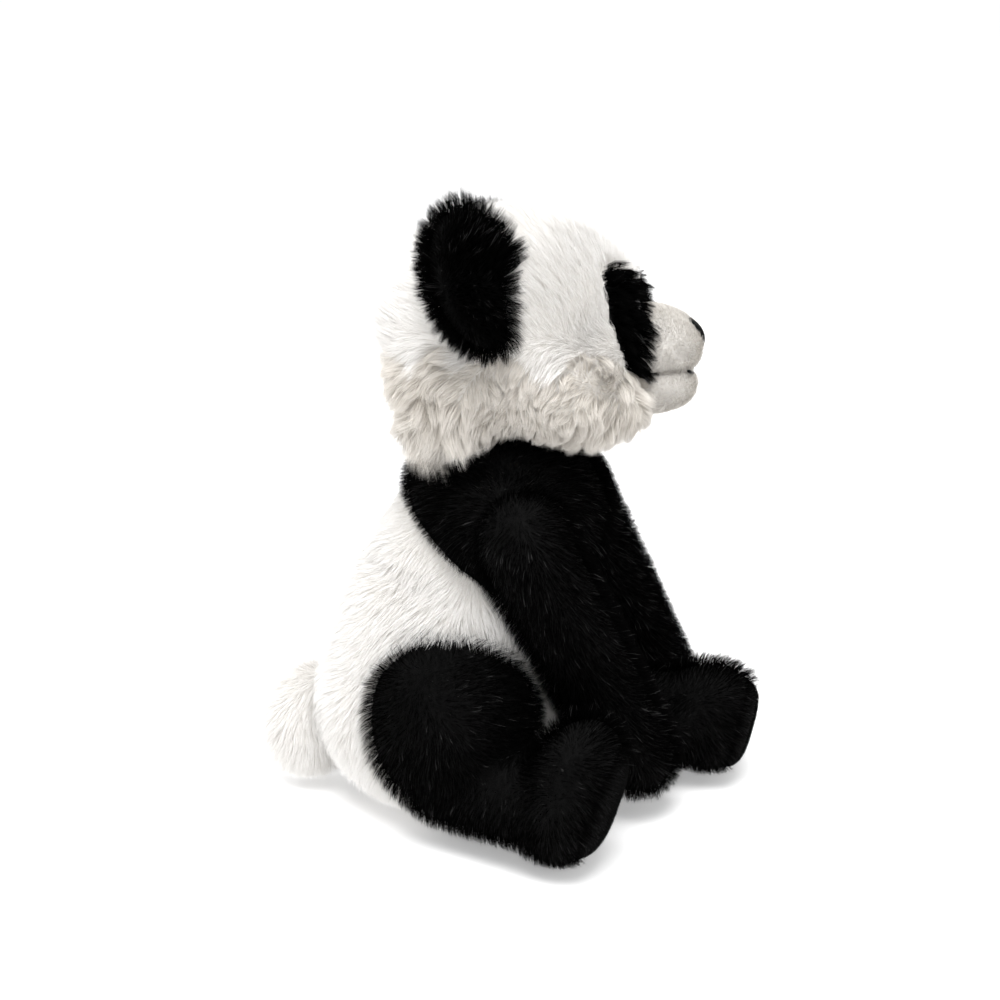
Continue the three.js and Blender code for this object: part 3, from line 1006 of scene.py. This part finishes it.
def make_nose():
    """A rounded triangle of upright satin stitches."""
    paths = []
    for across in np.arange(-NOSE_HALF, NOSE_HALF + 0.01, STITCH_PITCH):
        share = abs(across) / NOSE_HALF
        top = NOSE_TOP - 2.2 * share ** 3
        bottom = NOSE_BOTTOM + 8.2 * share ** 1.6
        heights = np.linspace(top, bottom, 9)
        arch = np.sin(np.linspace(0, math.pi, 9))
        paths.append(np.array([on_snout(across, z, 0.7 + 0.9 * a) for z, a in zip(heights, arch)]))
    stitching("nose_stitching", paths, 0.46, "nose")


def make_mouth():
    """Four back stitches in the seam between muzzle and jaw."""
    paths = []
    for start in (-12, -6, 0, 6):
        spots = np.linspace(start + 0.3, start + 5.7, 7)
        arch = np.sin(np.linspace(0, math.pi, 7)) * 0.7
        paths.append(np.array([
            on_snout(x, LIP_LEVEL + 1.2 + 0.012 * x * x, 2.0) + [0, -a, 0] for x, a in zip(spots, arch)]))
    stitching("mouth_stitching", paths, 0.75, "mouth_stitch")


def make_eye(side):
    """A domed eye with a rolled edge on a short stem, in its patch."""
    profile = [(0.0, -6.0), (1.6, -6.0), (1.6, -0.8), (5.4, -0.8), (6.0, -0.4), (EYE_RADIUS, 0.3)]
    profile += [(EYE_RADIUS * math.cos(a), 0.3 + 5.2 * math.sin(a)) for a in np.linspace(0.08, 1.5, 12)]
    profile.append((0.0, 5.5))
    around = 48
    way = eye_way(side)
    first = unit(np.cross(way, [0, 0, 1]))
    second = np.cross(first, way)
    bm = bmesh.new()
    rings = []
    for radius, height in profile:
        ring = []
        for k in range(around if radius > 0 else 1):
            angle = 2 * math.pi * k / around
            spot = way * (EYE_SEAT + height) + radius * (first * math.cos(angle) + second * math.sin(angle))
            ring.append(bm.verts.new(in_head(spot) * MM))
        rings.append(ring)
    for a, b in zip(rings, rings[1:]):
        for k in range(around):
            after = (k + 1) % around
            corners = [a[k % len(a)], a[after % len(a)], b[after % len(b)], b[k % len(b)]]
            bm.faces.new(list(dict.fromkeys(corners)))
    bmesh.ops.recalc_face_normals(bm, faces=bm.faces)
    dress(object_from(bm, f"eye_{side}_dome"), EYE_PLASTIC, "head", stands_for=(f"eye_{side}",))


def make_ear(side, seed):
    """A cupped lens of two panels, with the pile spreading from its root."""
    lump = EARS[side]

    def cup(points, normals):
        local = (points - lump.centre) @ lump.spin
        far = (local[:, 0] / 25) ** 2 + (local[:, 2] / 31) ** 2
        local[:, 1] += 4.0 * (1 - far)
        return local @ lump.spin.T + lump.centre

    obj = stuffed(f"ear_{side}_skin", [lump], cup, voxel=1.6, rounds=3)
    root = joint_at(f"ear_{side}_flop")

    def comb(roots):
        return unit(roots - root)

    member(f"ear_{side}", obj, BLACK_CLOTH, ear_pile, comb, seed, f"ear_{side}",
           (f"ear_{side}_front", f"ear_{side}_back"),
           length_at=shrink_inside(SKULL, ear_pile.length, -1.0))


# ---------- what lies inside ----------

def dress_insides():
    """Gives the CAD nodes that stay their materials."""
    looks = {"stuffing": FIBRE, "sack": SACKING, "washer": WASHER_PLASTIC}
    for node, obj in frame["nodes"].items():
        for word, material in looks.items():
            if word in node:
                obj.data.materials.clear()
                obj.data.materials.append(material)


# ---------- camera, floor and light ----------

CAMERA_AZIMUTH = -75
CAMERA_ELEVATION = 17
CAMERA_DISTANCE = 1050
CAMERA_TARGET = (36, 0, 144)
CAMERA_LENS = 77.9


def view_way(azimuth, elevation):
    """From the target to an eye at that azimuth and elevation, in degrees."""
    around, rise = math.radians(azimuth), math.radians(elevation)
    return Vector((math.sin(around) * math.cos(rise), -math.cos(around) * math.cos(rise), math.sin(rise)))


def make_camera():
    """The photo's view."""
    data = bpy.data.cameras.new("camera")
    data.lens = CAMERA_LENS
    data.sensor_width = 36
    data.clip_end = 60
    obj = linked("camera", data)
    way = view_way(CAMERA_AZIMUTH, CAMERA_ELEVATION)
    obj.location = (Vector(CAMERA_TARGET) + way * CAMERA_DISTANCE) * MM
    obj.rotation_euler = way.to_track_quat("Z", "Y").to_euler()
    bpy.context.scene.camera = obj


def area_light(name, azimuth, elevation, distance, size, power):
    """A round lamp that looks at the panda; angles in degrees, sizes in metres, power in watts."""
    data = bpy.data.lights.new(name, "AREA")
    data.shape = "DISK"
    data.size = size
    data.energy = power
    obj = linked(name, data)
    way = view_way(azimuth, elevation)
    obj.location = Vector((0, 0, 0.12)) + way * distance
    obj.rotation_euler = way.to_track_quat("Z", "Y").to_euler()


def make_studio():
    """A white floor and an even white light, brighter from above the right side."""
    bm = bmesh.new()
    bmesh.ops.create_grid(bm, x_segments=2, y_segments=2, size=30)
    floor = object_from(bm, "studio_floor")
    material, _, shader = new_material("studio_floor", 0.9, 0.0)
    shader.inputs["Base Color"].default_value = (0.96, 0.96, 0.96, 1)
    shader.inputs["Emission Color"].default_value = (1, 1, 1, 1)
    shader.inputs["Emission Strength"].default_value = 0.32
    floor.data.materials.append(material)
    world = bpy.data.worlds.new("studio")
    world.use_nodes = True
    sky = world.node_tree.nodes["Background"]
    sky.inputs["Color"].default_value = (1, 1, 1, 1)
    sky.inputs["Strength"].default_value = 0.72
    bpy.context.scene.world = world
    area_light("key", -78, 63, 1.5, 1.1, 31)
    area_light("back", 170, 40, 1.6, 1.0, 3)
    bpy.context.scene.view_settings.view_transform = "Standard"


make_camera()
make_studio()
dress_insides()
make_torso()
make_tail()
make_head()
make_muzzle()
make_nose()
make_mouth()
for number, limb_side in enumerate(SIDES):
    make_arm(limb_side, 51 + number)
    make_leg(limb_side, 61 + 4 * number)
    make_ear(limb_side, 71 + number)
    make_eye(limb_side)
